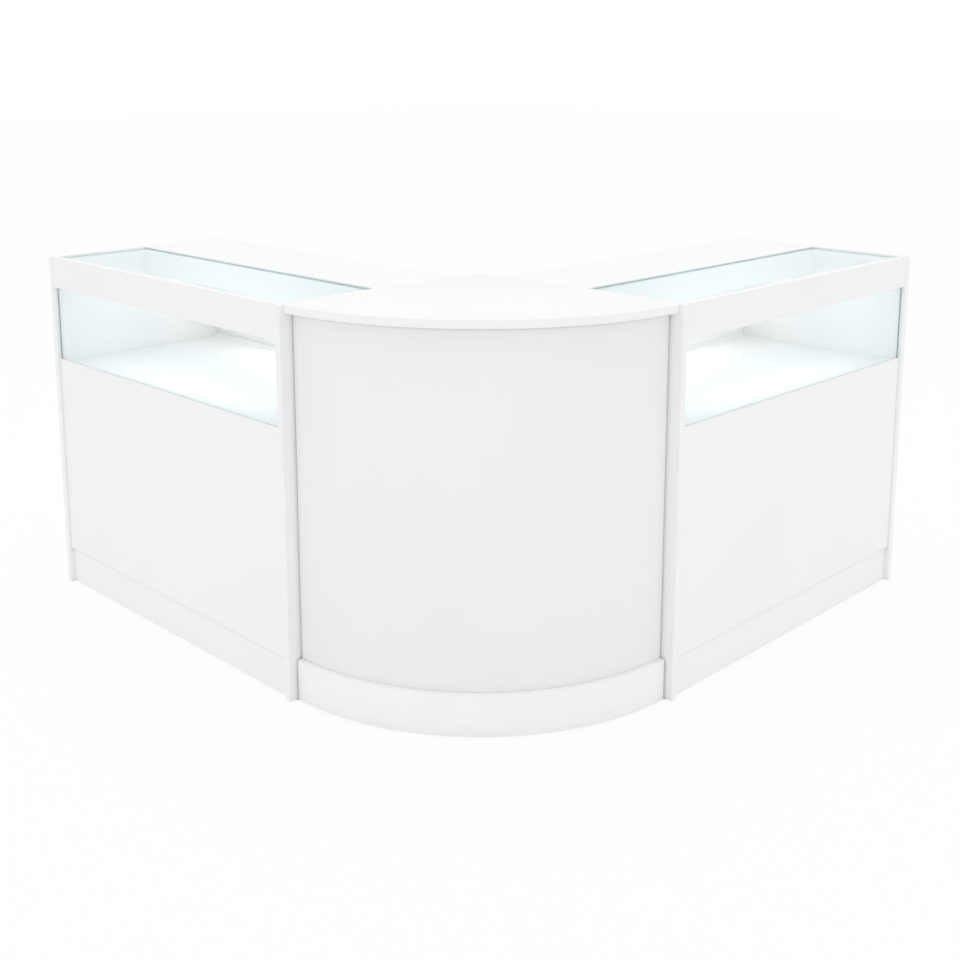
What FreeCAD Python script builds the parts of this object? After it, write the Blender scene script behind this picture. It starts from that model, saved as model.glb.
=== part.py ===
# Shop counter: two straight half-glass units joined at a right angle by a quarter-round corner unit.
# Row frame: +Z up, origin on the floor under the middle of the L, left unit along X, right unit along Y.
# Each straight unit is drawn in its own frame: x from its left end as a customer sees it, y from the
# front edge to the back, z up from the floor. The corner unit is drawn about the centre of its arc.
import FreeCAD, Part
import math
import os
import Sketcher

Vector = FreeCAD.Vector
doc = FreeCAD.newDocument("ShopCounter")
sheet = doc.addObject("Spreadsheet::Sheet", "Sizes")


# A size that carries its number and the spreadsheet formula behind it
class Size:
    def __init__(self, value, text):
        self.value = value
        self.text = text

    def __add__(self, other):
        other = as_size(other)
        return Size(self.value + other.value, "(%s + %s)" % (self.text, other.text))

    def __sub__(self, other):
        other = as_size(other)
        return Size(self.value - other.value, "(%s - %s)" % (self.text, other.text))

    def __mul__(self, other):
        other = as_size(other)
        return Size(self.value * other.value, "(%s * %s)" % (self.text, other.text))

    def __truediv__(self, other):
        other = as_size(other)
        return Size(self.value / other.value, "(%s / %s)" % (self.text, other.text))

    def __neg__(self):
        return Size(-self.value, "(0 - %s)" % self.text)


def as_size(number):
    if isinstance(number, Size):
        return number
    return Size(float(number), "%s" % number)


sheet_row = 0


def cell(alias, value):
    global sheet_row
    sheet_row += 1
    address = "B%d" % sheet_row
    sheet.set("A%d" % sheet_row, alias)
    sheet.set(address, str(value))
    sheet.setAlias(address, alias)
    return Size(float(value), "Sizes." + alias)


zero = as_size(0)

# Driving sizes of the counter, in millimetres
unit_width = cell("unit_width", 1000)
unit_depth = cell("unit_depth", 530)
unit_height = cell("unit_height", 900)
corner_reach = cell("corner_reach", 600)
board = cell("board", 18)
edge_break = cell("edge_break", 0.8)
glide_height = cell("glide_height", 3)
glide_width = cell("glide_width", 16)
glide_length = cell("glide_length", 40)
glide_inset = cell("glide_inset", 40)

# Front of a straight unit, from the floor up
plinth_height = cell("plinth_height", 95)
plinth_setback = cell("plinth_setback", 12)
shadow_gap = cell("shadow_gap", 3)
panel_setback = cell("panel_setback", 6)
sill_height = cell("sill_height", 628)
fascia_height = cell("fascia_height", 80)
fascia_setback = cell("fascia_setback", 1)

# Glass and what holds it
front_glass_thick = cell("front_glass_thick", 5)
front_glass_inset = cell("front_glass_inset", 10)
top_glass_thick = cell("top_glass_thick", 8)
top_glass_back = cell("top_glass_back", 278)
top_glass_drop = cell("top_glass_drop", 4)
glass_gap = cell("glass_gap", 1)
glass_arris = cell("glass_arris", 0.5)
groove_play = cell("groove_play", 0.2)
sill_groove = cell("sill_groove", 8)
fascia_groove = cell("fascia_groove", 16)
glass_lift = cell("glass_lift", 9)
batten = cell("batten", 15)
cross_rail_height = cell("cross_rail_height", 60)

# Inside of a straight unit
deck_drop = cell("deck_drop", 8)
shelf_height = cell("shelf_height", 355)
shelf_front = cell("shelf_front", 45)
shelf_back = cell("shelf_back", 500)
pin_radius = cell("pin_radius", 2.5)
pin_length = cell("pin_length", 18)
pin_row_front = cell("pin_row_front", 80)
pin_row_back = cell("pin_row_back", 450)

# Sliding doors and their double tracks
door_thick = cell("door_thick", 10)
door_play = cell("door_play", 0.5)
door_overlap = cell("door_overlap", 30)
door_rise = cell("door_rise", 0.4)
door_lift_room = cell("door_lift_room", 7)
track_wall = cell("track_wall", 2.5)
track_back_margin = cell("track_back_margin", 8)
lower_track_height = cell("lower_track_height", 8)
upper_track_height = cell("upper_track_height", 18)
pull_width = cell("pull_width", 26)
pull_height = cell("pull_height", 90)
pull_flange = cell("pull_flange", 4)
pull_depth = cell("pull_depth", 8)
pull_wall = cell("pull_wall", 1.2)
pull_inset = cell("pull_inset", 48)

# Cylinder lock through the outer door, over the overlap
lock_radius = cell("lock_radius", 9)
lock_flange = cell("lock_flange", 11)
lock_flange_thick = cell("lock_flange_thick", 1.5)
lock_plug_radius = cell("lock_plug_radius", 6)
lock_running_gap = cell("lock_running_gap", 0.06)
lock_floor = cell("lock_floor", 1)
keyway_width = cell("keyway_width", 2)
keyway_height = cell("keyway_height", 8)
keyway_depth = cell("keyway_depth", 6)

# Plastic blocks screwed into the corners between the boards and the end panels
block_width = cell("block_width", 22)
block_length = cell("block_length", 40)
block_row_front = cell("block_row_front", 110)
block_row_back = cell("block_row_back", 430)

# Corner unit, radii from the centre of its arc
corner_top_radius = cell("corner_top_radius", 590)
corner_plinth_radius = cell("corner_plinth_radius", 580)
corner_plinth_height = cell("corner_plinth_height", 98)
curved_panel_radius = cell("curved_panel_radius", 568)
curved_panel_thick = cell("curved_panel_thick", 6)
shell_gap = cell("shell_gap", 5)
former_height = cell("former_height", 480)
post_size = cell("post_size", 40)

# Connecting bolts between the units
joint_bolt_radius = cell("joint_bolt_radius", 4)
joint_head_radius = cell("joint_head_radius", 7.5)
joint_head_thick = cell("joint_head_thick", 5)
joint_row = cell("joint_row", 270)
joint_low = cell("joint_low", 240)
joint_high = cell("joint_high", 540)
doc.recompute()

# Levels and lines that the pieces share
top_underside = unit_height - board
inner_left = board
inner_right = unit_width - board
inner_width = unit_width - board * 2
panel_back = panel_setback + board
fascia_back = fascia_setback + board
fascia_underside = unit_height - fascia_height
deck_top = sill_height - deck_drop
deck_underside = deck_top - board
base_top = plinth_height + board
groove_front = front_glass_inset - groove_play
groove_width = front_glass_thick + groove_play * 2
track_depth = track_wall * 3 + (door_thick + door_play * 2) * 2
track_back = unit_depth - track_back_margin
track_front = track_back - track_depth
inner_door_front = track_front + track_wall + door_play
outer_door_front = inner_door_front + door_thick + door_play * 2 + track_wall
outer_door_back = outer_door_front + door_thick
door_width = (inner_width + door_overlap) / 2 - glass_gap
door_bottom = deck_top + track_wall + door_rise
door_top = top_underside - track_wall - door_lift_room
door_middle = (door_bottom + door_top) / 2
outer_door_left = inner_left + glass_gap
inner_door_left = inner_right - glass_gap - door_width
lock_centre = outer_door_left + door_width - door_overlap / 2
outer_pull_centre = outer_door_left + pull_inset
inner_pull_centre = inner_right - glass_gap - pull_inset

along_x = FreeCAD.Rotation(Vector(0, 1, 0), 90)
against_x = FreeCAD.Rotation(Vector(0, 1, 0), -90)
along_y = FreeCAD.Rotation(Vector(1, 0, 0), -90)
along_z = FreeCAD.Rotation()

# Where each unit stands in the row
half_span = (unit_width + corner_reach) / 2
arc_offset = (unit_width - corner_reach) / 2
quarter_turn = 90
stands = {
    "left": (-half_span, -half_span, 0, "far_end_panel", "near_end_panel"),
    "right": (half_span, -arc_offset, quarter_turn, "near_end_panel", "far_end_panel"),
    "corner": (arc_offset, -arc_offset, 0),
    "row": (arc_offset, -arc_offset, 0),
}
pieces = []


def bind(item, path, size):
    item.setExpression(path, as_size(size).text)


def name_piece(item, stand, name):
    x, y, turn = stands[stand][:3]
    item.Label = "%s_%s" % (stand, name)
    item.Placement = FreeCAD.Placement(Vector(x.value, y.value, 0), FreeCAD.Rotation(Vector(0, 0, 1), turn))
    bind(item, "Placement.Base.x", x)
    bind(item, "Placement.Base.y", y)
    pieces.append(item)
    return item


def plane(body, role):
    return [(feature, "") for feature in body.Origin.OriginFeatures if feature.Role == role]


def attach(item, body, at, role="XY_Plane", turn=along_z):
    item.AttachmentSupport = plane(body, role)
    item.MapMode = "FlatFace"
    item.AttachmentOffset = FreeCAD.Placement(Vector(*[as_size(value).value for value in at]), turn)
    for axis, value in zip("xyz", at):
        bind(item, "AttachmentOffset.Base." + axis, value)
    return item


# A closed outline of straight lines whose corners are all tied to the sheet
def draw_outline(sketch, corners):
    corners = [(as_size(across), as_size(up)) for across, up in corners]
    points = [Vector(across.value, up.value, 0) for across, up in corners]
    count = len(points)
    for index in range(count):
        sketch.addGeometry(Part.LineSegment(points[index], points[(index + 1) % count]), False)
    for index in range(count):
        sketch.addConstraint(Sketcher.Constraint("Coincident", index, 2, (index + 1) % count, 1))
    for index, (across, up) in enumerate(corners):
        for kind, axis, size in (("DistanceX", -2, across), ("DistanceY", -1, up)):
            if size.value == 0:
                sketch.addConstraint(Sketcher.Constraint("PointOnObject", index, 1, axis))
                continue
            number = sketch.addConstraint(Sketcher.Constraint(kind, -1, 1, index, 1, size.value))
            bind(sketch, "Constraints[%d]" % number, size)


# A quarter disc in the fourth quadrant, its two straight sides set in from the axes
def draw_quarter_disc(sketch, radius, inset):
    end = math.sqrt(radius.value ** 2 - inset.value ** 2)
    apex = Vector(inset.value, -inset.value, 0)
    left_end = Vector(inset.value, -end, 0)
    right_end = Vector(end, -inset.value, 0)
    start_angle = math.atan2(-end, inset.value)
    end_angle = math.atan2(-inset.value, end)
    circle = Part.Circle(Vector(0, 0, 0), Vector(0, 0, 1), radius.value)
    sketch.addGeometry(Part.LineSegment(apex, left_end), False)
    sketch.addGeometry(Part.ArcOfCircle(circle, start_angle, end_angle), False)
    sketch.addGeometry(Part.LineSegment(right_end, apex), False)
    sketch.addConstraint(Sketcher.Constraint("Coincident", 0, 2, 1, 1))
    sketch.addConstraint(Sketcher.Constraint("Coincident", 1, 2, 2, 1))
    sketch.addConstraint(Sketcher.Constraint("Coincident", 2, 2, 0, 1))
    sketch.addConstraint(Sketcher.Constraint("Coincident", 1, 3, -1, 1))
    sketch.addConstraint(Sketcher.Constraint("Vertical", 0))
    sketch.addConstraint(Sketcher.Constraint("Horizontal", 2))
    number = sketch.addConstraint(Sketcher.Constraint("Radius", 1, radius.value))
    bind(sketch, "Constraints[%d]" % number, radius)
    if inset.value == 0:
        sketch.addConstraint(Sketcher.Constraint("Coincident", 0, 1, -1, 1))
        return
    number = sketch.addConstraint(Sketcher.Constraint("DistanceX", -1, 1, 0, 1, inset.value))
    bind(sketch, "Constraints[%d]" % number, inset)
    number = sketch.addConstraint(Sketcher.Constraint("DistanceY", 0, 1, -1, 1, inset.value))
    bind(sketch, "Constraints[%d]" % number, inset)


# A quarter ring in the fourth quadrant, its ends cut parallel to the two axes and a gap short of them
def draw_quarter_ring(sketch, outer, inner, gap):
    reaches = []
    for radius in (outer, inner):
        reach = math.sqrt(radius.value ** 2 - gap.value ** 2)
        circle = Part.Circle(Vector(0, 0, 0), Vector(0, 0, 1), radius.value)
        start_angle = math.atan2(-reach, gap.value)
        end_angle = math.atan2(-gap.value, reach)
        sketch.addGeometry(Part.ArcOfCircle(circle, start_angle, end_angle), False)
        reaches.append(reach)
    left_ends = [Vector(gap.value, -reach, 0) for reach in reaches]
    right_ends = [Vector(reach, -gap.value, 0) for reach in reaches]
    sketch.addGeometry(Part.LineSegment(*left_ends), False)
    sketch.addGeometry(Part.LineSegment(*right_ends), False)
    for arc, radius in ((0, outer), (1, inner)):
        sketch.addConstraint(Sketcher.Constraint("Coincident", arc, 3, -1, 1))
        number = sketch.addConstraint(Sketcher.Constraint("Radius", arc, radius.value))
        bind(sketch, "Constraints[%d]" % number, radius)
    for line, arc_end in ((2, 1), (3, 2)):
        sketch.addConstraint(Sketcher.Constraint("Coincident", line, 1, 0, arc_end))
        sketch.addConstraint(Sketcher.Constraint("Coincident", line, 2, 1, arc_end))
    sketch.addConstraint(Sketcher.Constraint("Vertical", 2))
    sketch.addConstraint(Sketcher.Constraint("Horizontal", 3))
    number = sketch.addConstraint(Sketcher.Constraint("DistanceX", -1, 1, 2, 1, gap.value))
    bind(sketch, "Constraints[%d]" % number, gap)
    number = sketch.addConstraint(Sketcher.Constraint("DistanceY", 3, 1, -1, 1, gap.value))
    bind(sketch, "Constraints[%d]" % number, gap)


def new_body(stand, name):
    return name_piece(doc.addObject("PartDesign::Body", "%s_%s" % (stand, name)), stand, name)


def pad_sketch(body, sketch, height, edge=None):
    pad = body.newObject("PartDesign::Pad", "Pad")
    pad.Profile = sketch
    bind(pad, "Length", height)
    if edge is not None:
        doc.recompute()
        chamfer = body.newObject("PartDesign::Chamfer", "EdgeBreak")
        chamfer.Base = (pad, ["Edge%d" % (number + 1) for number in range(len(pad.Shape.Edges))])
        bind(chamfer, "Size", edge)
    return body


# A sawn board or a pane: a rectangle padded up, with its edges eased
def make_board(stand, name, x, y, z, edge=edge_break):
    body = new_body(stand, name)
    sketch = body.newObject("Sketcher::SketchObject", "Outline")
    attach(sketch, body, (x[0], y[0], z[0]))
    width = as_size(x[1]) - x[0]
    depth = as_size(y[1]) - y[0]
    draw_outline(sketch, [(0, 0), (width, 0), (width, depth), (0, depth)])
    return pad_sketch(body, sketch, as_size(z[1]) - z[0], edge)


def cut_slot(body, x, y, z):
    slot = body.newObject("PartDesign::SubtractiveBox", "Slot")
    attach(slot, body, (x[0], y[0], z[0]))
    for side, span in (("Length", x), ("Width", y), ("Height", z)):
        bind(slot, side, as_size(span[1]) - span[0])


def cut_bore(body, at, radius, depth, turn):
    bore = body.newObject("PartDesign::SubtractiveCylinder", "Bore")
    attach(bore, body, at, turn=turn)
    bind(bore, "Radius", radius)
    bind(bore, "Height", depth)


# A turned piece: a half section revolved about an axis that points to the back of the unit
def make_turned(stand, name, centre, section):
    body = new_body(stand, name)
    sketch = body.newObject("Sketcher::SketchObject", "HalfSection")
    attach(sketch, body, centre)
    draw_outline(sketch, section)
    turned = body.newObject("PartDesign::Revolution", "Turned")
    turned.Profile = sketch
    turned.ReferenceAxis = (sketch, ["V_Axis"])
    turned.Angle = 360
    return body


def make_rod(name, at, radius, length, turn):
    rod = doc.addObject("Part::Cylinder", name)
    rod.Placement = FreeCAD.Placement(Vector(*[as_size(value).value for value in at]), turn)
    bind(rod, "Radius", radius)
    bind(rod, "Height", length)
    for axis, value in zip("xyz", at):
        bind(rod, "Placement.Base." + axis, value)
    return rod


def make_hexagon(name, at, radius, length, turn):
    hexagon = doc.addObject("Part::Prism", name)
    hexagon.Polygon = 6
    hexagon.Placement = FreeCAD.Placement(Vector(*[as_size(value).value for value in at]), turn)
    bind(hexagon, "Circumradius", radius)
    bind(hexagon, "Height", length)
    for axis, value in zip("xyz", at):
        bind(hexagon, "Placement.Base." + axis, value)
    return hexagon


def make_bar(name, x, y, z):
    bar = doc.addObject("Part::Box", name)
    for side, axis, span in (("Length", "x", x), ("Width", "y", y), ("Height", "z", z)):
        bind(bar, side, as_size(span[1]) - span[0])
        bind(bar, "Placement.Base." + axis, span[0])
    return bar


def make_group(stand, name, members):
    group = doc.addObject("Part::Compound", "%s_%s" % (stand, name))
    group.Links = members
    return name_piece(group, stand, name)


# Fitting places in a straight unit, used by the boards that are bored and by the fittings in the bores
block_rows = (block_row_front, block_row_back)
block_levels = (deck_underside - block_width, base_top)
pin_rows = (pin_row_front, pin_row_back)
pin_level = shelf_height - pin_radius
pin_bite = pin_length / 2
joint_levels = (joint_low, joint_high)


# End panels stand proud of everything else and carry the bores for shelf pins and joint bolts
def make_end_panels(stand):
    for name, face, inner_face, turn in (
        (stands[stand][3], zero, inner_left, against_x),
        (stands[stand][4], inner_right, inner_right, along_x),
    ):
        x = (face, face + board)
        body = make_board(stand, name, x, (zero, unit_depth), (glide_height, unit_height))
        for row in pin_rows:
            cut_bore(body, (inner_face, row, pin_level), pin_radius, pin_bite, turn)
        if name == "near_end_panel":
            for level in joint_levels:
                cut_bore(body, (face, joint_row, level), joint_bolt_radius, board, along_x)


def make_carcass(stand):
    x = (inner_left, inner_right)
    make_end_panels(stand)
    front_plinth = (plinth_setback, plinth_setback + board)
    make_board(stand, "plinth_board", x, front_plinth, (glide_height, plinth_height))
    rear_plinth = (unit_depth - plinth_setback - board, unit_depth - plinth_setback)
    make_board(stand, "rear_plinth_rail", x, rear_plinth, (glide_height, plinth_height))
    make_board(stand, "base_panel", x, (panel_back, unit_depth), (plinth_height, base_top))
    make_board(stand, "display_deck", x, (panel_back, unit_depth), (deck_underside, deck_top))
    rear_top = (top_glass_back + glass_gap, unit_depth)
    make_board(stand, "rear_top_panel", x, rear_top, (top_underside, unit_height))


# The front panel and the fascia are grooved so that the pane lifts into the fascia and drops into the sill
def make_front(stand):
    x = (inner_left, inner_right)
    groove_y = (groove_front, groove_front + groove_width)
    panel_z = (plinth_height + shadow_gap, sill_height)
    panel = make_board(stand, "lower_front_panel", x, (panel_setback, panel_back), panel_z)
    cut_slot(panel, x, groove_y, (sill_height - sill_groove, sill_height))
    fascia_y = (fascia_setback, fascia_back)
    fascia = make_board(stand, "fascia_rail", x, fascia_y, (fascia_underside, unit_height))
    cut_slot(fascia, x, groove_y, (fascia_underside, fascia_underside + fascia_groove))
    pane_x = (inner_left + glass_gap, inner_right - glass_gap)
    pane_y = (front_glass_inset, front_glass_inset + front_glass_thick)
    pane_z = (sill_height - sill_groove, fascia_underside + fascia_groove - glass_lift)
    make_board(stand, "front_glass", pane_x, pane_y, pane_z, glass_arris)


# The top pane lies on battens and on the lip of the cross rail, whose rebate carries the rear top
def make_top_glazing(stand):
    x = (inner_left, inner_right)
    pane_top = unit_height - top_glass_drop
    pane_seat = pane_top - top_glass_thick
    batten_z = (pane_seat - batten, pane_seat)
    rail_lip = top_glass_back + glass_gap
    rail_front = rail_lip - board / 2
    rail_back = rail_front + board
    rail_z = (top_underside - cross_rail_height, pane_seat)
    rail = make_board(stand, "cross_rail", x, (rail_front, rail_back), rail_z)
    cut_slot(rail, x, (rail_lip, rail_back), (top_underside, pane_seat))
    front_y = (fascia_back, fascia_back + batten)
    make_board(stand, "front_batten", x, front_y, batten_z)
    end_y = (fascia_back + batten, rail_front)
    left_x = (inner_left, inner_left + batten)
    right_x = (inner_right - batten, inner_right)
    make_group(stand, "end_battens", [make_bar("Batten", end, end_y, batten_z) for end in (left_x, right_x)])
    pane_x = (inner_left + glass_gap, inner_right - glass_gap)
    pane_y = (fascia_back + glass_gap, top_glass_back)
    make_board(stand, "top_glass", pane_x, pane_y, (pane_seat, pane_top), glass_arris)


def make_storage(stand):
    x = (inner_left + glass_gap, inner_right - glass_gap)
    make_board(stand, "storage_shelf", x, (shelf_front, shelf_back), (shelf_height, shelf_height + board))
    pins = []
    for row in pin_rows:
        for end in (inner_left - pin_bite, inner_right - pin_bite):
            pins.append(make_rod("Pin", (end, row, pin_level), pin_radius, pin_length, along_x))
    make_group(stand, "shelf_pins", pins)
    blocks = []
    for row in block_rows:
        for level in block_levels:
            for left in (inner_left, inner_right - block_width):
                block_x = (left, left + block_width)
                block_y = (row - block_length / 2, row + block_length / 2)
                blocks.append(make_bar("Block", block_x, block_y, (level, level + block_width)))
    make_group(stand, "fixing_blocks", blocks)


# Double tracks: a bar with two door slots, shallow below and deep above so that a door lifts out
def make_tracks(stand):
    x = (inner_left, inner_right)
    y = (track_front, track_back)
    slot_width = door_thick + door_play * 2
    slot_fronts = (track_front + track_wall, track_front + track_wall * 2 + slot_width)
    lower = make_board(stand, "lower_track", x, y, (deck_top, deck_top + lower_track_height), None)
    upper = make_board(stand, "upper_track", x, y, (top_underside - upper_track_height, top_underside), None)
    for front in slot_fronts:
        slot_y = (front, front + slot_width)
        cut_slot(lower, x, slot_y, (deck_top + track_wall, deck_top + lower_track_height))
        cut_slot(upper, x, slot_y, (top_underside - upper_track_height, top_underside - track_wall))


# Each door has a flush finger pull, and the outer door carries the lock where the doors overlap
def make_doors(stand):
    for place, left, front, pull_centre in (
        ("outer", outer_door_left, outer_door_front, outer_pull_centre),
        ("inner", inner_door_left, inner_door_front, inner_pull_centre),
    ):
        x = (left, left + door_width)
        back = front + door_thick
        door = make_board(stand, place + "_door", x, (front, back), (door_bottom, door_top))
        cup_x = (pull_centre - pull_width / 2, pull_centre + pull_width / 2)
        cup_z = (door_middle - pull_height / 2, door_middle + pull_height / 2)
        cut_slot(door, cup_x, (back - pull_depth, back), cup_z)
        if place == "outer":
            cut_bore(door, (lock_centre, front, door_middle), lock_radius, door_thick, along_y)
        make_pull(stand, place + "_door_pull", cup_x, back, cup_z)
    make_lock(stand)


# A finger pull is a shallow tray let into the door, with a thin flange on the door's face
def make_pull(stand, name, cup_x, face, cup_z):
    flange_x = (cup_x[0] - pull_flange, cup_x[1] + pull_flange)
    flange_z = (cup_z[0] - pull_flange, cup_z[1] + pull_flange)
    pull = make_board(stand, name, flange_x, (face, face + pull_wall), flange_z, None)
    tray = pull.newObject("PartDesign::AdditiveBox", "Tray")
    attach(tray, pull, (cup_x[0], face - pull_depth, cup_z[0]))
    bind(tray, "Length", pull_width)
    bind(tray, "Width", pull_depth)
    bind(tray, "Height", pull_height)
    hollow_x = (cup_x[0] + pull_wall, cup_x[1] - pull_wall)
    hollow_z = (cup_z[0] + pull_wall, cup_z[1] - pull_wall)
    cut_slot(pull, hollow_x, (face - pull_depth + pull_wall, face + pull_wall), hollow_z)


def make_lock(stand):
    centre = (lock_centre, outer_door_back, door_middle)
    bore = lock_plug_radius + lock_running_gap
    barrel = [
        (0, -door_thick), (lock_radius, -door_thick), (lock_radius, 0), (lock_flange, 0),
        (lock_flange, lock_flange_thick), (bore, lock_flange_thick),
        (bore, lock_floor - door_thick), (0, lock_floor - door_thick),
    ]
    make_turned(stand, "lock_barrel", centre, barrel)
    plug_floor = lock_floor + door_rise - door_thick
    plug = [
        (0, plug_floor), (lock_plug_radius, plug_floor),
        (lock_plug_radius, lock_flange_thick), (0, lock_flange_thick),
    ]
    body = make_turned(stand, "lock_plug", centre, plug)
    keyway_x = (lock_centre - keyway_width / 2, lock_centre + keyway_width / 2)
    keyway_back = outer_door_back + lock_flange_thick
    keyway_z = (door_middle - keyway_height / 2, door_middle + keyway_height / 2)
    cut_slot(body, keyway_x, (keyway_back - keyway_depth, keyway_back), keyway_z)


def make_straight_unit(stand):
    make_carcass(stand)
    make_front(stand)
    make_top_glazing(stand)
    make_storage(stand)
    make_tracks(stand)
    make_doors(stand)


def make_corner_disc(name, radius, inset, bottom, thick, edge):
    body = new_body("corner", name)
    sketch = body.newObject("Sketcher::SketchObject", "Outline")
    attach(sketch, body, (zero, zero, bottom))
    draw_quarter_disc(sketch, radius, inset)
    return pad_sketch(body, sketch, thick, edge)


def make_corner_ring(name, outer, inner, bottom, top):
    body = new_body("corner", name)
    sketch = body.newObject("Sketcher::SketchObject", "Outline")
    attach(sketch, body, (zero, zero, bottom))
    draw_quarter_ring(sketch, outer, inner, shell_gap)
    return pad_sketch(body, sketch, top - bottom)


# The corner is a closed quarter-round shell: two side panels, formers, and a bent front and plinth,
# which stop a little short of the straight units so that the units bolt up tight
def make_corner_unit():
    shell = curved_panel_radius - curved_panel_thick
    side_end = shell - edge_break
    side_z = (glide_height, top_underside)
    left_side = make_board("corner", "left_side_panel", (zero, board), (-side_end, zero), side_z)
    right_side = make_board("corner", "right_side_panel", (board, side_end), (-board, zero), side_z)
    for level in joint_levels:
        distance = corner_reach - joint_row
        cut_bore(left_side, (zero, -distance, level), joint_bolt_radius, board, along_x)
        cut_bore(right_side, (distance, -board, level), joint_bolt_radius, board, along_y)
    make_corner_ring("curved_plinth", corner_plinth_radius, shell, glide_height, corner_plinth_height)
    make_corner_ring("curved_front_panel", curved_panel_radius, shell, corner_plinth_height, top_underside)
    base_bottom = corner_plinth_height - board
    make_corner_disc("base_panel", shell, board, base_bottom, board, None)
    former = make_corner_disc("former_panel", shell, board, former_height, board, None)
    post_x = (board, board + post_size)
    post_y = (-board - post_size, -board)
    cut_slot(former, post_x, post_y, (former_height, former_height + board))
    make_board("corner", "apex_post", post_x, post_y, (corner_plinth_height, top_underside))
    make_corner_disc("top", corner_top_radius, zero, top_underside, board, edge_break)


# Plastic glides under the upright boards, the same on both sides of the corner's diagonal
def make_foot_glides():
    half_width = glide_width / 2
    half_length = glide_length / 2
    front = glide_inset - corner_reach
    back = unit_depth - glide_inset - corner_reach
    shell = curved_panel_radius - curved_panel_thick
    middle = board / 2
    places = [(end, y) for end in (middle - unit_width, -middle) for y in (front, back)]
    places += [(middle, glide_inset - shell), (middle, -glide_inset)]
    glides = []
    for across, along in places:
        short = (across - half_width, across + half_width)
        long = (along - half_length, along + half_length)
        z = (zero, glide_height)
        glides.append(make_bar("Glide", short, long, z))
        glides.append(make_bar("Glide", (-long[1], -long[0]), (-short[1], -short[0]), z))
    make_group("row", "foot_glides", glides)


# Hexagon bolts and nuts through a straight unit's end panel and the corner's side panel beside it
def make_joint_bolts():
    bolts = []
    distance = corner_reach - joint_row
    for level in joint_levels:
        for turn in (along_x, along_y):
            members = []
            for start, kind in ((-board - joint_head_thick, "head"), (-board, "shank"), (board, "nut")):
                at = (start, -distance, level) if turn is along_x else (distance, start, level)
                if kind == "shank":
                    members.append(make_rod("Shank", at, joint_bolt_radius, board * 2, turn))
                else:
                    members.append(make_hexagon("Hexagon", at, joint_head_radius, joint_head_thick, turn))
            bolt = doc.addObject("Part::MultiFuse", "JointBolt")
            bolt.Shapes = members
            bolts.append(bolt)
    make_group("row", "joint_bolts", bolts)


make_straight_unit("left")
make_straight_unit("right")
make_corner_unit()
make_foot_glides()
make_joint_bolts()
doc.recompute()

failed = [item.Name for item in doc.Objects if "Invalid" in item.State or "Error" in item.State]
if failed:
    raise RuntimeError("failed objects: " + ", ".join(failed))
for piece in pieces:
    if piece.Shape.isNull() or not piece.Shape.isValid():
        raise RuntimeError("bad shape: " + piece.Label)

os.makedirs("parts", exist_ok=True)
for piece in pieces:
    piece.Shape.exportStep("parts/%s.step" % piece.Label)
print("wrote %d pieces" % len(pieces))
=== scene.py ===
import bmesh
import bpy
import math
from mathutils import Matrix, Vector


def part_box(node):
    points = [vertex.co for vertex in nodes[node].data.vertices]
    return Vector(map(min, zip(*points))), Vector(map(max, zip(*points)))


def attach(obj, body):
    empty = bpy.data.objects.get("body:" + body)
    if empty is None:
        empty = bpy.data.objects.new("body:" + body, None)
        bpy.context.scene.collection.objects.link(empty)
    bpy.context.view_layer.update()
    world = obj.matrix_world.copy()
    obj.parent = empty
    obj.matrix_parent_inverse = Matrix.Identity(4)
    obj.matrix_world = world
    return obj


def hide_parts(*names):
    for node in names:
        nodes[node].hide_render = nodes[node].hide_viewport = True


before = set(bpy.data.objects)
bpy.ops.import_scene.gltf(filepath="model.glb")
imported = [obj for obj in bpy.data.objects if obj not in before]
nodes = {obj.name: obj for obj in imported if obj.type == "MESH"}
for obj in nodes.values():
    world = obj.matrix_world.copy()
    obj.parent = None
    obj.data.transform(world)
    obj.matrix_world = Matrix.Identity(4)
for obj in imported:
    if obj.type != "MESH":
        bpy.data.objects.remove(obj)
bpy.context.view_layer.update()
scene = bpy.context.scene
scene.view_settings.view_transform = "Standard"
print("counter frame loaded:", len(nodes), "nodes")

# each straight unit is drawn from its customer's left front corner: x along it, y to the staff side
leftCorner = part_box("left_far_end_panel")[0]
rightLow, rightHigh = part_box("right_near_end_panel")
unitPlace = {
    "left": Matrix.Translation((leftCorner.x, leftCorner.y, 0)),
    "right": Matrix.Translation((rightHigh.x, rightLow.y, 0)) @ Matrix.Rotation(math.pi / 2, 4, "Z"),
}


# shader building blocks

def startGroup(name, inputs, outputs):
    group = bpy.data.node_groups.new(name, "ShaderNodeTree")
    for label, kind, value in inputs:
        socket = group.interface.new_socket(label, in_out="INPUT", socket_type=kind)
        socket.default_value = value
    for label, kind in outputs:
        group.interface.new_socket(label, in_out="OUTPUT", socket_type=kind)
    return group, group.nodes.new("NodeGroupInput"), group.nodes.new("NodeGroupOutput")


def addNode(tree, kind, **settings):
    node = tree.nodes.new(kind)
    for key, value in settings.items():
        setattr(node, key, value)
    return node


def addRamp(tree, source, low, high):
    ramp = addNode(tree, "ShaderNodeMapRange", clamp=True)
    ramp.inputs["From Min"].default_value = low
    ramp.inputs["From Max"].default_value = high
    tree.links.new(source, ramp.inputs["Value"])
    return ramp


def addNoise(tree, vector, scale, detail=3.0, roughness=0.5):
    noise = addNode(tree, "ShaderNodeTexNoise")
    noise.inputs["Scale"].default_value = scale
    noise.inputs["Detail"].default_value = detail
    noise.inputs["Roughness"].default_value = roughness
    tree.links.new(vector, noise.inputs["Vector"])
    return noise


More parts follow.
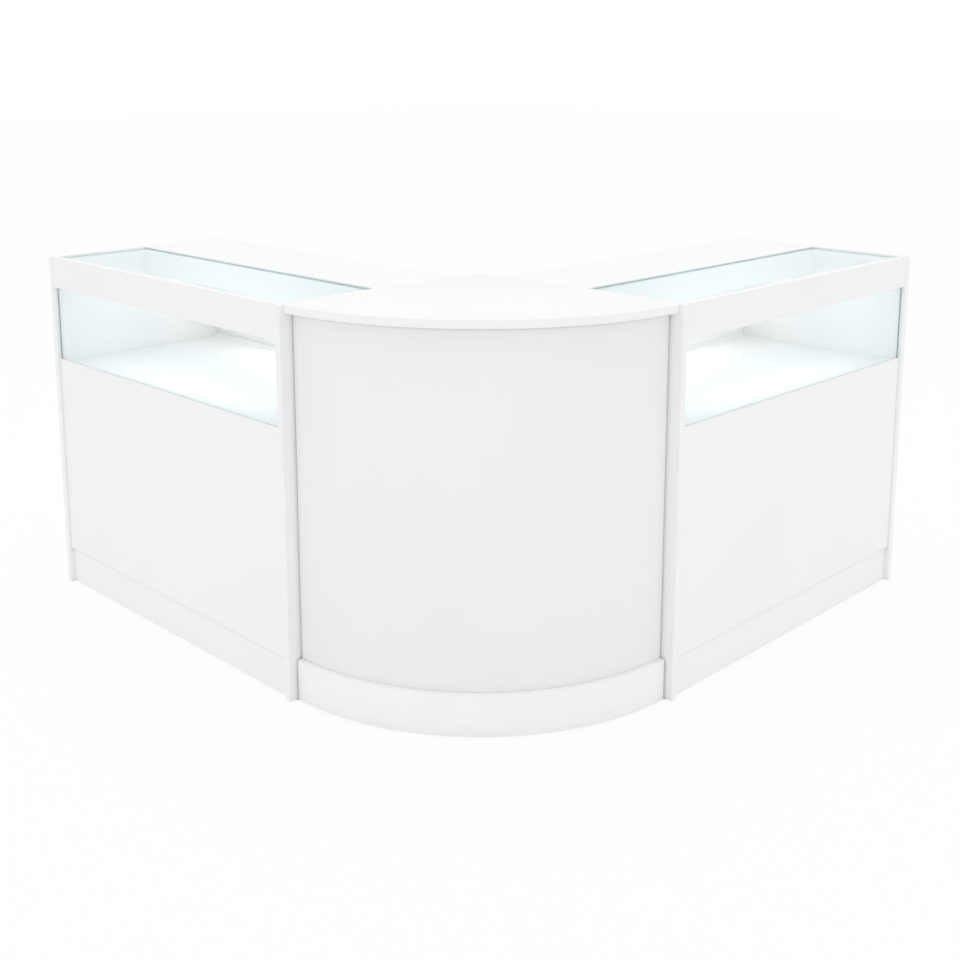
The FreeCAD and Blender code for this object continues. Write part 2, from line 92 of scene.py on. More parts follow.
def addMix(tree, factor, first, second):
    mix = addNode(tree, "ShaderNodeMix", data_type="RGBA")
    tree.links.new(factor, mix.inputs["Factor"])
    for socket, value in ((mix.inputs[6], first), (mix.inputs[7], second)):
        if isinstance(value, bpy.types.NodeSocket):
            tree.links.new(value, socket)
        else:
            socket.default_value = (*value, 1)
    return mix.outputs[2]


def makeSlowTone():
    # broad, faint changes of tone that a large white sheet shows
    group, given, result = startGroup(
        "slowTone",
        [("Face", "NodeSocketColor", (1, 1, 1, 1)), ("Shade", "NodeSocketColor", (1, 1, 1, 1))],
        [("Color", "NodeSocketColor")],
    )
    place = addNode(group, "ShaderNodeTexCoord").outputs["Object"]
    clouds = addNoise(group, place, scale=2.3, detail=4.0, roughness=0.55)
    mask = addRamp(group, clouds.outputs["Fac"], low=0.35, high=0.7)
    tone = addMix(group, mask.outputs[0], given.outputs["Face"], given.outputs["Shade"])
    group.links.new(tone, result.inputs["Color"])
    return group


def makePearlGrain():
    # the fine pearl emboss of melamine paper: small soft cells over finer grit
    group, given, result = startGroup(
        "pearlGrain",
        [("Low Gloss", "NodeSocketFloat", 0.4), ("High Gloss", "NodeSocketFloat", 0.3)],
        [("Height", "NodeSocketFloat"), ("Roughness", "NodeSocketFloat")],
    )
    place = addNode(group, "ShaderNodeTexCoord").outputs["Object"]
    cells = addNode(group, "ShaderNodeTexVoronoi", feature="SMOOTH_F1")
    cells.inputs["Scale"].default_value = 620
    group.links.new(place, cells.inputs["Vector"])
    grit = addNoise(group, place, scale=1500, detail=2.0)
    gritShare = 0.4
    height = addNode(group, "ShaderNodeMath", operation="MULTIPLY_ADD")
    height.inputs[1].default_value = gritShare
    group.links.new(grit.outputs["Fac"], height.inputs[0])
    group.links.new(cells.outputs["Distance"], height.inputs[2])
    group.links.new(height.outputs[0], result.inputs["Height"])
    smears = addNoise(group, place, scale=7.0, detail=5.0, roughness=0.6)
    gloss = addRamp(group, smears.outputs["Fac"], low=0.3, high=0.72)
    group.links.new(given.outputs["Low Gloss"], gloss.inputs["To Max"])
    group.links.new(given.outputs["High Gloss"], gloss.inputs["To Min"])
    group.links.new(gloss.outputs[0], result.inputs["Roughness"])
    return group


def makeEdgeBand():
    # softened edges, and a mask of the banded strip along each of them
    group, given, result = startGroup(
        "edgeBand",
        [("Radius", "NodeSocketFloat", 0.001)],
        [("Mask", "NodeSocketFloat"), ("Normal", "NodeSocketVector")],
    )
    rounding = addNode(group, "ShaderNodeBevel", samples=6)
    group.links.new(given.outputs["Radius"], rounding.inputs["Radius"])
    flat = addNode(group, "ShaderNodeNewGeometry").outputs["Normal"]
    turn = addNode(group, "ShaderNodeVectorMath", operation="DOT_PRODUCT")
    group.links.new(rounding.outputs["Normal"], turn.inputs[0])
    group.links.new(flat, turn.inputs[1])
    mask = addRamp(group, turn.outputs["Value"], low=0.995, high=0.9)
    group.links.new(mask.outputs[0], result.inputs["Mask"])
    group.links.new(rounding.outputs["Normal"], result.inputs["Normal"])
    return group


def makeKickScuffs():
    # streaks that shoes and mops leave low on a board, fading out with height
    group, given, result = startGroup(
        "kickScuffs",
        [("Reach", "NodeSocketFloat", 0.1)],
        [("Mask", "NodeSocketFloat")],
    )
    place = addNode(group, "ShaderNodeTexCoord").outputs["Object"]
    stretch = addNode(group, "ShaderNodeMapping")
    stretch.inputs["Scale"].default_value = (7, 7, 46)
    group.links.new(place, stretch.inputs["Vector"])
    streaks = addNoise(group, stretch.outputs[0], scale=1.6, detail=6.0, roughness=0.65)
    marks = addRamp(group, streaks.outputs["Fac"], low=0.55, high=0.8)
    height = addNode(group, "ShaderNodeSeparateXYZ")
    group.links.new(place, height.inputs[0])
    fade = addNode(group, "ShaderNodeMapRange", clamp=True)
    fade.inputs["From Min"].default_value = 0
    fade.inputs["To Min"].default_value = 1
    fade.inputs["To Max"].default_value = 0
    group.links.new(height.outputs["Z"], fade.inputs["Value"])
    group.links.new(given.outputs["Reach"], fade.inputs["From Max"])
    both = addNode(group, "ShaderNodeMath", operation="MULTIPLY")
    group.links.new(marks.outputs[0], both.inputs[0])
    group.links.new(fade.outputs[0], both.inputs[1])
    group.links.new(both.outputs[0], result.inputs["Mask"])
    return group


def makeDrawnLines():
    # die lines along drawn or brushed metal: noise squeezed across its length
    group, given, result = startGroup(
        "drawnLines",
        [("Across", "NodeSocketVector", (900, 900, 900))],
        [("Height", "NodeSocketFloat"), ("Mask", "NodeSocketFloat")],
    )
    place = addNode(group, "ShaderNodeTexCoord").outputs["Object"]
    squeeze = addNode(group, "ShaderNodeVectorMath", operation="MULTIPLY")
    group.links.new(place, squeeze.inputs[0])
    group.links.new(given.outputs["Across"], squeeze.inputs[1])
    lines = addNoise(group, squeeze.outputs[0], scale=1.0, detail=4.0, roughness=0.6)
    group.links.new(lines.outputs["Fac"], result.inputs["Height"])
    mask = addRamp(group, lines.outputs["Fac"], low=0.35, high=0.65)
    group.links.new(mask.outputs[0], result.inputs["Mask"])
    return group


def makePaintedJointShade():
    # painted shade along the joint over a board: a darker band at its top edge, where the part over it
    # shades it
    group, given, result = startGroup(
        "paintedJointShade",
        [("Top", "NodeSocketFloat", 0.1), ("Width", "NodeSocketFloat", 0.003)],
        [("Mask", "NodeSocketFloat")],
    )
    place = addNode(group, "ShaderNodeTexCoord").outputs["Object"]
    height = addNode(group, "ShaderNodeSeparateXYZ")
    group.links.new(place, height.inputs[0])
    start = addNode(group, "ShaderNodeMath", operation="SUBTRACT")
    group.links.new(given.outputs["Top"], start.inputs[0])
    group.links.new(given.outputs["Width"], start.inputs[1])
    rise = addNode(group, "ShaderNodeMapRange", clamp=True)
    group.links.new(height.outputs["Z"], rise.inputs["Value"])
    group.links.new(start.outputs[0], rise.inputs["From Min"])
    group.links.new(given.outputs["Top"], rise.inputs["From Max"])
    group.links.new(rise.outputs[0], result.inputs["Mask"])
    return group


slowTone = makeSlowTone()
pearlGrain = makePearlGrain()
edgeBand = makeEdgeBand()
kickScuffs = makeKickScuffs()
drawnLines = makeDrawnLines()
paintedJointShade = makePaintedJointShade()


def newMaterial(name):
    material = bpy.data.materials.new(name)
    material.use_nodes = True
    tree = material.node_tree
    return material, tree, tree.nodes["Principled BSDF"]


def placeGroup(tree, group, **values):
    node = addNode(tree, "ShaderNodeGroup", node_tree=group)
    for label, value in values.items():
        node.inputs[label.replace("_", " ")].default_value = value
    return node


def addBump(tree, height, distance, normal=None):
    bump = addNode(tree, "ShaderNodeBump")
    bump.inputs["Distance"].default_value = distance
    tree.links.new(height, bump.inputs["Height"])
    if normal is not None:
        tree.links.new(normal, bump.inputs["Normal"])
    return bump.outputs["Normal"]


def boardMaterial(name, finish):
    material, tree, shader = newMaterial(name)
    tone = placeGroup(tree, slowTone, Face=(*finish["face"], 1), Shade=(*finish["shade"], 1))
    grain = placeGroup(tree, pearlGrain, Low_Gloss=finish["dull"], High_Gloss=finish["shiny"])
    edge = placeGroup(tree, edgeBand, Radius=finish["edge"])
    scuff = placeGroup(tree, kickScuffs, Reach=finish["scuffReach"])
    banded = addMix(tree, edge.outputs["Mask"], tone.outputs["Color"], finish["band"])
    worn = addMix(tree, scuff.outputs["Mask"], banded, finish["scuff"])
    # painted shade: a darker band along the board's top edge, in the joint under the part over it
    if "jointTop" in finish:
        paintedShade = placeGroup(tree, paintedJointShade, Top=finish["jointTop"], Width=finish["jointWidth"])
        worn = addMix(tree, paintedShade.outputs["Mask"], worn, finish["paintedShadeTone"])
    tree.links.new(worn, shader.inputs["Base Color"])
    tree.links.new(grain.outputs["Roughness"], shader.inputs["Roughness"])
    normal = addBump(tree, grain.outputs["Height"], finish["depth"], edge.outputs["Normal"])
    tree.links.new(normal, shader.inputs["Normal"])
    shader.inputs["Specular IOR Level"].default_value = 0.4
    return material


whiteBoard = boardMaterial("whiteBoard", {
    "face": (0.93, 0.93, 0.925), "shade": (0.915, 0.915, 0.91), "band": (0.945, 0.945, 0.94),
    "scuff": (0.86, 0.855, 0.845), "scuffReach": 0.06,
    "dull": 0.46, "shiny": 0.36, "edge": 0.001, "depth": 0.00003,
})
# the plinths are a lighter copy of the white board: painted light that offsets the shade under the
# counter's front
plinthLitFinish = {
    "face": (0.94, 0.94, 0.935), "shade": (0.925, 0.925, 0.92), "band": (0.95, 0.95, 0.945),
    "scuff": (0.86, 0.855, 0.845), "scuffReach": 0.05,
    "dull": 0.5, "shiny": 0.4, "edge": 0.001, "depth": 0.00003,
}
plinthLitWhite = boardMaterial("plinthLitWhite", plinthLitFinish)
# the straight plinths get a painted shade line along their top edge, in the shadow gap under the lower
# front panel
plinthWithPaintedShade = boardMaterial("plinthWithPaintedShade", {
    **plinthLitFinish, "jointTop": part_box("left_plinth_board")[1].z, "jointWidth": 0.003,
    "paintedShadeTone": (0.55, 0.55, 0.54),
})
# the bent front is a darker copy of the white board: painted shade from the top's overhang
bentShadedWhite = boardMaterial("bentShadedWhite", {
    "face": (0.905, 0.905, 0.90), "shade": (0.885, 0.885, 0.88), "band": (0.92, 0.92, 0.915),
    "scuff": (0.82, 0.81, 0.79), "scuffReach": 0.08,
    "dull": 0.44, "shiny": 0.33, "edge": 0.0008, "depth": 0.00002,
    # a painted shade band along the bent front's top edge, under the top's rim
    "jointTop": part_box("corner_curved_front_panel")[1].z, "jointWidth": 0.01,
    "paintedShadeTone": (0.62, 0.62, 0.61),
})
doorWhite = boardMaterial("doorWhite", {
    "face": (0.925, 0.925, 0.92), "shade": (0.91, 0.91, 0.905), "band": (0.94, 0.94, 0.935),
    "scuff": (0.86, 0.855, 0.845), "scuffReach": 0.01,
    "dull": 0.42, "shiny": 0.3, "edge": 0.0008, "depth": 0.00002,
})
print("board finishes made")


def paneMaterial(name, tint):
    material, tree, shader = newMaterial(name)
    shader.inputs["Base Color"].default_value = (*tint, 1)
    shader.inputs["Transmission Weight"].default_value = 1
    shader.inputs["IOR"].default_value = 1.5
    place = addNode(tree, "ShaderNodeTexCoord").outputs["Object"]
    wipes = addNoise(tree, place, scale=9.0, detail=5.0, roughness=0.6)
    haze = addRamp(tree, wipes.outputs["Fac"], low=0.5, high=0.85)
    haze.inputs["To Max"].default_value = 0.03
    tree.links.new(haze.outputs[0], shader.inputs["Roughness"])
    # light for the goods passes the pane instead of stopping at it
    rays = addNode(tree, "ShaderNodeLightPath")
    passing = addNode(tree, "ShaderNodeMath", operation="MAXIMUM")
    tree.links.new(rays.outputs["Is Shadow Ray"], passing.inputs[0])
    tree.links.new(rays.outputs["Is Diffuse Ray"], passing.inputs[1])
    clear = addNode(tree, "ShaderNodeBsdfTransparent")
    clear.inputs["Color"].default_value = (*tint, 1)
    mix = addNode(tree, "ShaderNodeMixShader")
    tree.links.new(passing.outputs[0], mix.inputs[0])
    tree.links.new(shader.outputs[0], mix.inputs[1])
    tree.links.new(clear.outputs[0], mix.inputs[2])
    tree.links.new(mix.outputs[0], tree.nodes["Material Output"].inputs["Surface"])
    return material


def cutEdgeMaterial(name, deep, pale):
    material, tree, shader = newMaterial(name)
    place = addNode(tree, "ShaderNodeTexCoord").outputs["Object"]
    ripples = addNoise(tree, place, scale=60.0)
    mask = addRamp(tree, ripples.outputs["Fac"], low=0.35, high=0.7)
    tree.links.new(addMix(tree, mask.outputs[0], deep, pale), shader.inputs["Base Color"])
    shader.inputs["Roughness"].default_value = 0.12
    normal = addBump(tree, ripples.outputs["Fac"], distance=0.00005)
    tree.links.new(normal, shader.inputs["Normal"])
    return material


frontPane = paneMaterial("frontPane", tint=(0.98, 0.995, 1.0))
# the thicker pane looks greener
topPane = paneMaterial("topPane", tint=(0.90, 0.985, 1.0))
cutEdge = cutEdgeMaterial("cutEdge", deep=(0.13, 0.30, 0.32), pale=(0.24, 0.43, 0.46))
# a paler copy of the cut edge colour: painted light from the white board that an edge stands in or on
litCutEdge = cutEdgeMaterial("litCutEdge", deep=(0.84, 0.91, 0.92), pale=(0.90, 0.95, 0.96))


def drawnMaterial(name, finish):
    material, tree, shader = newMaterial(name)
    lines = placeGroup(tree, drawnLines, Across=finish["across"])
    colour = addMix(tree, lines.outputs["Mask"], finish["bright"], finish["dark"])
    tree.links.new(colour, shader.inputs["Base Color"])
    shader.inputs["Metallic"].default_value = finish["metal"]
    polish = addNode(tree, "ShaderNodeMapRange")
    polish.inputs["To Min"].default_value = finish["shiny"]
    polish.inputs["To Max"].default_value = finish["dull"]
    tree.links.new(lines.outputs["Mask"], polish.inputs["Value"])
    tree.links.new(polish.outputs[0], shader.inputs["Roughness"])
    normal = addBump(tree, lines.outputs["Height"], finish["depth"])
    tree.links.new(normal, shader.inputs["Normal"])
    return material


trackWhite = {
    side: drawnMaterial("trackWhite_" + side, {
        "metal": 0, "bright": (0.93, 0.93, 0.925), "dark": (0.89, 0.89, 0.885),
        "across": across, "shiny": 0.3, "dull": 0.42, "depth": 0.00002,
    })
    for side, across in (("left", (6, 900, 900)), ("right", (900, 6, 900)))
}
brushedNickel = drawnMaterial("brushedNickel", {
    "metal": 1, "bright": (0.72, 0.70, 0.67), "dark": (0.62, 0.60, 0.57),
    "across": (1400, 1400, 14), "shiny": 0.24, "dull": 0.36, "depth": 0.00002,
})
chromedLock = drawnMaterial("chromedLock", {
    "metal": 1, "bright": (0.60, 0.60, 0.62), "dark": (0.56, 0.56, 0.58),
    "across": (2600, 2600, 2600), "shiny": 0.16, "dull": 0.22, "depth": 0.000003,
})
zincPlate = drawnMaterial("zincPlate", {
    "metal": 1, "bright": (0.66, 0.67, 0.68), "dark": (0.54, 0.55, 0.57),
    "across": (240, 240, 240), "shiny": 0.3, "dull": 0.5, "depth": 0.00003,
})


def mouldedMaterial(name, finish):
    material, tree, shader = newMaterial(name)
    place = addNode(tree, "ShaderNodeTexCoord").outputs["Object"]
    spark = addNoise(tree, place, scale=1800.0, detail=2.0)
    mask = addRamp(tree, spark.outputs["Fac"], low=0.3, high=0.7)
    tone = addMix(tree, mask.outputs[0], finish["face"], finish["shade"])
    tree.links.new(tone, shader.inputs["Base Color"])
    edge = placeGroup(tree, edgeBand, Radius=finish["edge"])
    normal = addBump(tree, spark.outputs["Fac"], finish["depth"], edge.outputs["Normal"])
    tree.links.new(normal, shader.inputs["Normal"])
    shader.inputs["Roughness"].default_value = finish["roughness"]
    return material


blockPlastic = mouldedMaterial("blockPlastic", {
    "face": (0.86, 0.86, 0.85), "shade": (0.82, 0.82, 0.81),
    "edge": 0.001, "depth": 0.00003, "roughness": 0.45,
})
glidePlastic = mouldedMaterial("glidePlastic", {
    "face": (0.80, 0.80, 0.79), "shade": (0.74, 0.74, 0.73),
    "edge": 0.0006, "depth": 0.00003, "roughness": 0.55,
})
print("glass, metal and plastic finishes made")

# the finish of each carried-over node
boardNodes = [
    "far_end_panel", "near_end_panel", "lower_front_panel", "fascia_rail",
    "base_panel", "display_deck", "rear_top_panel", "storage_shelf",
    "rear_plinth_rail", "cross_rail", "front_batten", "end_battens",
]
unitFinish = {
    **{name: whiteBoard for name in boardNodes},
    "plinth_board": plinthWithPaintedShade,
    "outer_door": doorWhite,
    "inner_door": doorWhite,
    "front_glass": frontPane,
    "top_glass": topPane,
    "shelf_pins": zincPlate,
    "fixing_blocks": blockPlastic,
    "outer_door_pull": brushedNickel,
    "inner_door_pull": brushedNickel,
    "lock_barrel": chromedLock,
    "lock_plug": chromedLock,
}
cornerFinish = {
    "corner_top": whiteBoard,
    "corner_left_side_panel": whiteBoard,
    "corner_right_side_panel": whiteBoard,
    "corner_base_panel": whiteBoard,
    "corner_former_panel": whiteBoard,
    "corner_apex_post": whiteBoard,
    "corner_curved_front_panel": bentShadedWhite,
    "corner_curved_plinth": plinthLitWhite,
    "row_foot_glides": glidePlastic,
    "row_joint_bolts": zincPlate,
}


def dress(node, material):
    slots = nodes[node].data.materials
    slots.clear()
    slots.append(material)


for side in unitPlace:
    for part, material in unitFinish.items():
        dress(side + "_" + part, material)
    for track in ("lower_track", "upper_track"):
        dress(side + "_" + track, trackWhite[side])
for node, material in cornerFinish.items():
    dress(node, material)
print("carried-over nodes dressed")


# modelled pieces

weldGap = 1e-6


def finishPiece(name, work, materials, body, replaced=(), smoothAngle=None):
    bmesh.ops.remove_doubles(work, verts=work.verts, dist=weldGap)
    bmesh.ops.recalc_face_normals(work, faces=work.faces)
    for face in work.faces:
        face.smooth = smoothAngle is not None
    mesh = bpy.data.meshes.new(name)
    work.to_mesh(mesh)
    work.free()
    for material in materials:
        mesh.materials.append(material)
    if smoothAngle is not None:
        mesh.set_sharp_from_angle(angle=math.radians(smoothAngle))
    piece = bpy.data.objects.new(name, mesh)
    scene.collection.objects.link(piece)
    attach(piece, body)
    if replaced:
        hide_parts(*replaced)
    return piece


def sharpEdges(work, leastTurn=1.0):
    # edges whose two faces turn by more than this, in radians
    return [edge for edge in work.edges if edge.is_manifold and edge.calc_face_angle(0) > leastTurn]


def soften(work, edges, width, segments):
    bmesh.ops.bevel(
        work, geom=edges, offset=width, offset_type="OFFSET", affect="EDGES",
        segments=segments, profile=0.5, material=-1, clamp_overlap=True,
    )


paneShape = {"arris": 0.0012, "segments": 2, "flat": 0.99, "endFacing": 0.3}


def makePane(name, node, glass, longEdge, endEdge):
    low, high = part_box(node)
    size = high - low
    work = bmesh.new()
    bmesh.ops.create_cube(work, size=1)
    bmesh.ops.scale(work, vec=size, verts=work.verts)
    bmesh.ops.translate(work, vec=(low + high) / 2, verts=work.verts)
    soften(work, work.edges[:], paneShape["arris"], paneShape["segments"])
    thin = min(range(3), key=lambda axis: size[axis])
    length = max(range(3), key=lambda axis: size[axis])
    # clear faces first, then the long cut edges, then the ends
    for face in work.faces:
        face.material_index = 1
        if abs(face.normal[thin]) > paneShape["flat"]:
            face.material_index = 0
        elif abs(face.normal[length]) > paneShape["endFacing"]:
            face.material_index = 2
    return finishPiece(name, work, [glass, longEdge, endEdge], "carcass", [node])


# cut edges that stand in white grooves or on white battens get a paler copy of the edge colour than the
# free ones: painted light from the white board around them
for side in unitPlace:
    makePane(side + "FrontPane", side + "_front_glass", frontPane, litCutEdge, cutEdge)
    makePane(side + "TopPane", side + "_top_glass", topPane, cutEdge, litCutEdge)
print("glass panes made")

# the corner's rounds are swept about the arc's centre, from the left unit's side to the right one's
topLow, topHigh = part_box("corner_top")
arcCentre = Vector((topLow.x, topHigh.y, 0))
bendShape = {"frontSheet": 0.006, "steps": 72, "edge": 0.0008, "segments": 2, "smooth": 30}


def sweepCorner(name, node, inner, material):
    low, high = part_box(node)
    outer = high.x - arcCentre.x
    # the bent boards stop short of the straight units
    endTurn = math.asin((low.x - arcCentre.x) / outer)
    work = bmesh.new()
    corners = [(inner, low.z), (outer, low.z), (outer, high.z), (inner, high.z)]
    ring = [work.verts.new((arcCentre.x, arcCentre.y - radius, z)) for radius, z in corners]
    face = work.faces.new(ring)
    bmesh.ops.rotate(work, verts=ring, cent=arcCentre, matrix=Matrix.Rotation(endTurn, 3, "Z"))
    bmesh.ops.spin(
        work, geom=[face, *face.edges, *ring], cent=arcCentre, axis=(0, 0, 1),
        angle=math.pi / 2 - 2 * endTurn, steps=bendShape["steps"], use_duplicate=False,
    )
    bmesh.ops.remove_doubles(work, verts=work.verts, dist=weldGap)
    bmesh.ops.dissolve_degenerate(work, edges=work.edges, dist=weldGap)
    bmesh.ops.recalc_face_normals(work, faces=work.faces)
    soften(work, sharpEdges(work), bendShape["edge"], bendShape["segments"])
    return finishPiece(name, work, [material], "carcass", [node], bendShape["smooth"])


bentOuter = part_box("corner_curved_front_panel")[1].x - arcCentre.x
sweepCorner("cornerTop", "corner_top", 0, whiteBoard)
bentInner = bentOuter - bendShape["frontSheet"]
sweepCorner("cornerBentFront", "corner_curved_front_panel", bentInner, bentShadedWhite)
sweepCorner("cornerBentPlinth", "corner_curved_plinth", bentInner, plinthLitWhite)
print("corner rounds made")

# a finger pull: a pressed tray with a rounded lip, let into the staff side of a door
pullShape = {
    "lip": 0.004, "sheet": 0.0012, "corner": 0.007, "cornerSegments": 6,
    "edge": 0.0005, "edgeSegments": 2, "smooth": 40,
}


def makePull(name, node, side, body):
    low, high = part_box(node)
    turn = unitPlace[side].to_3x3().to_4x4()
    width, depth, height = [abs(span) for span in turn.inverted() @ (high - low)]
    sheet = pullShape["sheet"]
    work = bmesh.new()
    bmesh.ops.create_cube(work, size=1)
    bmesh.ops.scale(work, vec=(width, sheet, height), verts=work.verts)
    bmesh.ops.translate(work, vec=(0, (depth - sheet) / 2, 0), verts=work.verts)
    corners = [edge for edge in work.edges if abs(edge.verts[0].co.y - edge.verts[1].co.y) > sheet / 2]
    soften(work, corners, pullShape["corner"], pullShape["cornerSegments"])
    work.normal_update()
    lipBack = min(work.faces, key=lambda face: face.normal.y)
    lipFront = max(work.faces, key=lambda face: face.normal.y)
    sink = depth - sheet
    for face, inset in ((lipBack, pullShape["lip"]), (lipFront, pullShape["lip"] + sheet)):
        bmesh.ops.inset_region(work, faces=[face], thickness=inset, use_even_offset=True)
        pushed = bmesh.ops.extrude_discrete_faces(work, faces=[face])["faces"]
        bmesh.ops.translate(work, vec=(0, -sink, 0), verts=pushed[0].verts)
    bmesh.ops.recalc_face_normals(work, faces=work.faces)
    soften(work, sharpEdges(work), pullShape["edge"], pullShape["edgeSegments"])
    bmesh.ops.transform(work, matrix=Matrix.Translation((low + high) / 2) @ turn, verts=work.verts)
    return finishPiece(name, work, [brushedNickel], body, [node], pullShape["smooth"])


for side in unitPlace:
    for place in ("outer", "inner"):
        body = side + "_" + place + "_door"
        makePull(side + place.capitalize() + "Pull", body + "_pull", side, body)
print("finger pulls made")

# pan-head screws that hold each fixing block to its end panel and to the board over or under it
screwShape = {
    "head": 0.0042, "crown": 0.0031, "rise": 0.0019, "socket": 0.0016, "sink": 0.0012,
    "sides": 16, "smooth": 35,
}
blockShape = {"width": 0.022, "length": 0.040, "stagger": 0.009}


def addScrew(work, seat, outward):
    turn = Vector((0, 0, 1)).rotation_difference(Vector(outward)).to_matrix().to_4x4()
    place = Matrix.Translation(seat) @ turn
    rise = screwShape["rise"]
    made = bmesh.ops.create_cone(
        work, cap_ends=True, segments=screwShape["sides"], radius1=screwShape["head"],
        radius2=screwShape["crown"], depth=rise, matrix=place @ Matrix.Translation((0, 0, rise / 2)),
    )["verts"]
    faces = {face for vert in made for face in vert.link_faces}
    crown = max(faces, key=lambda face: (face.calc_center_median() - Vector(seat)).dot(Vector(outward)))
    bmesh.ops.inset_region(work, faces=[crown], thickness=screwShape["crown"] - screwShape["socket"])
    pushed = bmesh.ops.extrude_discrete_faces(work, faces=[crown])["faces"]
    bmesh.ops.translate(work, vec=Vector(outward) * -screwShape["sink"], verts=pushed[0].verts)


def makeBlockScrews(side):
    toUnit = unitPlace[side].inverted()
    corners = [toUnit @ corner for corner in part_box(side + "_fixing_blocks")]
    low = Vector([min(pair) for pair in zip(*corners)])
    high = Vector([max(pair) for pair in zip(*corners)])
    width = blockShape["width"]
    stagger = blockShape["stagger"]
    rows = (low.y + blockShape["length"] / 2, high.y - blockShape["length"] / 2)
    # each block shows a face to the middle of the unit and one away from the board that it holds
    inward = ((low.x + width, 1), (high.x - width, -1))
    away = ((high.z - width, -1), (low.z + width, 1))
    work = bmesh.new()
    for row in rows:
        for level, up in away:
            for face, across in inward:
                addScrew(work, (face, row - stagger, level - up * width / 2), (across, 0, 0))
                addScrew(work, (face - across * width / 2, row + stagger, level), (0, 0, up))
    bmesh.ops.transform(work, matrix=unitPlace[side], verts=work.verts)
    name = side + "BlockScrews"
    return finishPiece(name, work, [zincPlate], "carcass", (), screwShape["smooth"])


for side in unitPlace:
    makeBlockScrews(side)
print("block screws made")

# stage, light and camera
studio = {
    "floorSize": 30.0, "floorTone": (0.97, 0.97, 0.97), "floorShade": 0.985, "floorShow": 0.86,
    "worldLevel": 0.97, "lampSize": 3.2, "lampHeight": 3.4, "lampPower": 9.0,
}
fillLamps = {
    "DisplayFillDown": {"middle": (0.5, 0.25, 0.818), "size": (0.94, 0.4), "tip": 0, "power": 0.1},
    "DisplayFillBack": {"middle": (0.5, 0.028, 0.74), "size": (0.6, 0.12), "tip": 90, "power": 0.32},
    "DisplayFillDoors": {"middle": (0.5, 0.34, 0.8), "size": (0.94, 0.05), "tip": 55, "power": 0.24},
    "DisplayFillFront": {"middle": (0.5, 0.485, 0.72), "size": (0.56, 0.12), "tip": -90, "power": 0.22},
}


def makeFloor():
    work = bmesh.new()
    bmesh.ops.create_grid(work, x_segments=8, y_segments=8, size=studio["floorSize"])
    mesh = bpy.data.meshes.new("studioFloor")
    work.to_mesh(mesh)
    work.free()
    floor = bpy.data.objects.new("studioFloor", mesh)
    scene.collection.objects.link(floor)
    material, tree, shader = newMaterial("floorPaper")
    place = addNode(tree, "ShaderNodeTexCoord").outputs["Object"]
    fibres = addNoise(tree, place, scale=40.0)
    shadedTone = [tone * studio["floorShade"] for tone in studio["floorTone"]]
    paper = addMix(tree, fibres.outputs["Fac"], studio["floorTone"], shadedTone)
    tree.links.new(paper, shader.inputs["Base Color"])
    shader.inputs["Roughness"].default_value = 0.9
    # seen directly or in glass and metal the floor is white, with a part of its shadow kept
    rays = addNode(tree, "ShaderNodeLightPath")
    seen = rays.outputs["Is Camera Ray"]
    for output in ("Is Glossy Ray", "Is Transmission Ray"):
        either = addNode(tree, "ShaderNodeMath", operation="MAXIMUM")
        tree.links.new(seen, either.inputs[0])
        tree.links.new(rays.outputs[output], either.inputs[1])
        seen = either.outputs[0]
    share = addNode(tree, "ShaderNodeMath", operation="MULTIPLY")
    share.inputs[1].default_value = studio["floorShow"]
    tree.links.new(seen, share.inputs[0])
    white = addNode(tree, "ShaderNodeEmission")
    mix = addNode(tree, "ShaderNodeMixShader")
    tree.links.new(share.outputs[0], mix.inputs[0])
    tree.links.new(shader.outputs[0], mix.inputs[1])
    tree.links.new(white.outputs[0], mix.inputs[2])
    tree.links.new(mix.outputs[0], tree.nodes["Material Output"].inputs["Surface"])
    mesh.materials.append(material)


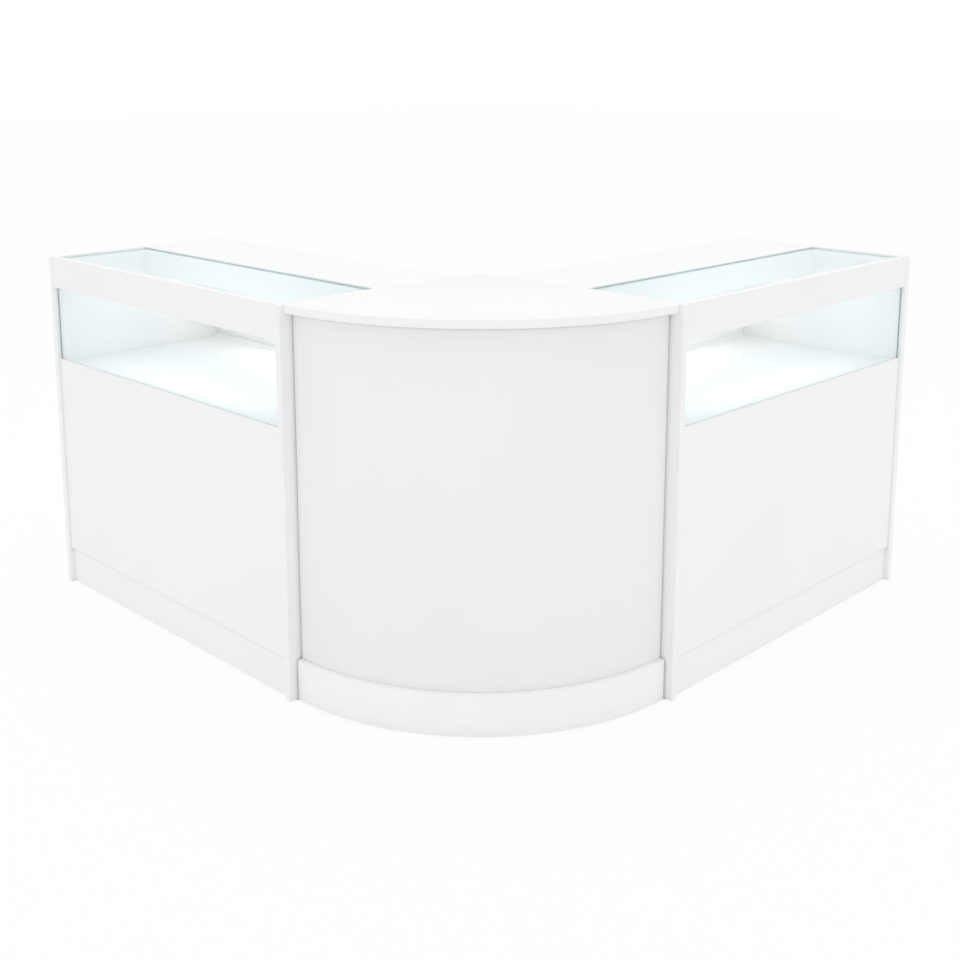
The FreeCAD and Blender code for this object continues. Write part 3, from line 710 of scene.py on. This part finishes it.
def makeLight():
    world = bpy.data.worlds.new("paleStudio")
    scene.world = world
    world.use_nodes = True
    tree = world.node_tree
    sky = tree.nodes["Background"]
    sky.inputs["Color"].default_value = (1, 1, 1, 1)
    sky.inputs["Strength"].default_value = studio["worldLevel"]
    # the camera sees plain white behind the counter
    rays = addNode(tree, "ShaderNodeLightPath")
    backdrop = addNode(tree, "ShaderNodeBackground")
    backdrop.inputs["Color"].default_value = (1, 1, 1, 1)
    mix = addNode(tree, "ShaderNodeMixShader")
    tree.links.new(rays.outputs["Is Camera Ray"], mix.inputs[0])
    tree.links.new(sky.outputs[0], mix.inputs[1])
    tree.links.new(backdrop.outputs[0], mix.inputs[2])
    tree.links.new(mix.outputs[0], tree.nodes["World Output"].inputs["Surface"])
    lamp = bpy.data.lights.new("overheadSoftbox", "AREA")
    lamp.size = studio["lampSize"]
    lamp.energy = studio["lampPower"]
    overhead = bpy.data.objects.new("overheadSoftbox", lamp)
    overhead.location = (0, 0, studio["lampHeight"])
    scene.collection.objects.link(overhead)
    # soft studio light inside each display, out of sight, so that the glass shows a bright inside
    for side, place in unitPlace.items():
        for name, lampShape in fillLamps.items():
            fill = bpy.data.lights.new(side + name, "AREA")
            fill.shape = "RECTANGLE"
            fill.size, fill.size_y = lampShape["size"]
            fill.energy = lampShape["power"]
            fillPlace = bpy.data.objects.new(side + name, fill)
            turn = Matrix.Rotation(math.radians(lampShape["tip"]), 4, "X")
            fillPlace.matrix_world = place @ Matrix.Translation(lampShape["middle"]) @ turn
            fillPlace.visible_camera = False
            fillPlace.visible_glossy = False
            fillPlace.visible_transmission = False
            scene.collection.objects.link(fillPlace)


view = {
    "place": (2.4036, -2.4215, 1.3988), "azimuth": 44.79, "elevation": 10.75,
    "lens": 49.2, "sensor": 36, "shiftY": -0.175,
}


def makeCamera():
    data = bpy.data.cameras.new("photoView")
    data.sensor_width = view["sensor"]
    data.lens = view["lens"]
    data.shift_y = view["shiftY"]
    camera = bpy.data.objects.new("photoView", data)
    camera.location = view["place"]
    tilt = math.radians(90 - view["elevation"])
    camera.rotation_euler = (tilt, 0, math.radians(view["azimuth"]))
    scene.collection.objects.link(camera)
    scene.camera = camera


makeFloor()
makeLight()
makeCamera()
print("studio ready")
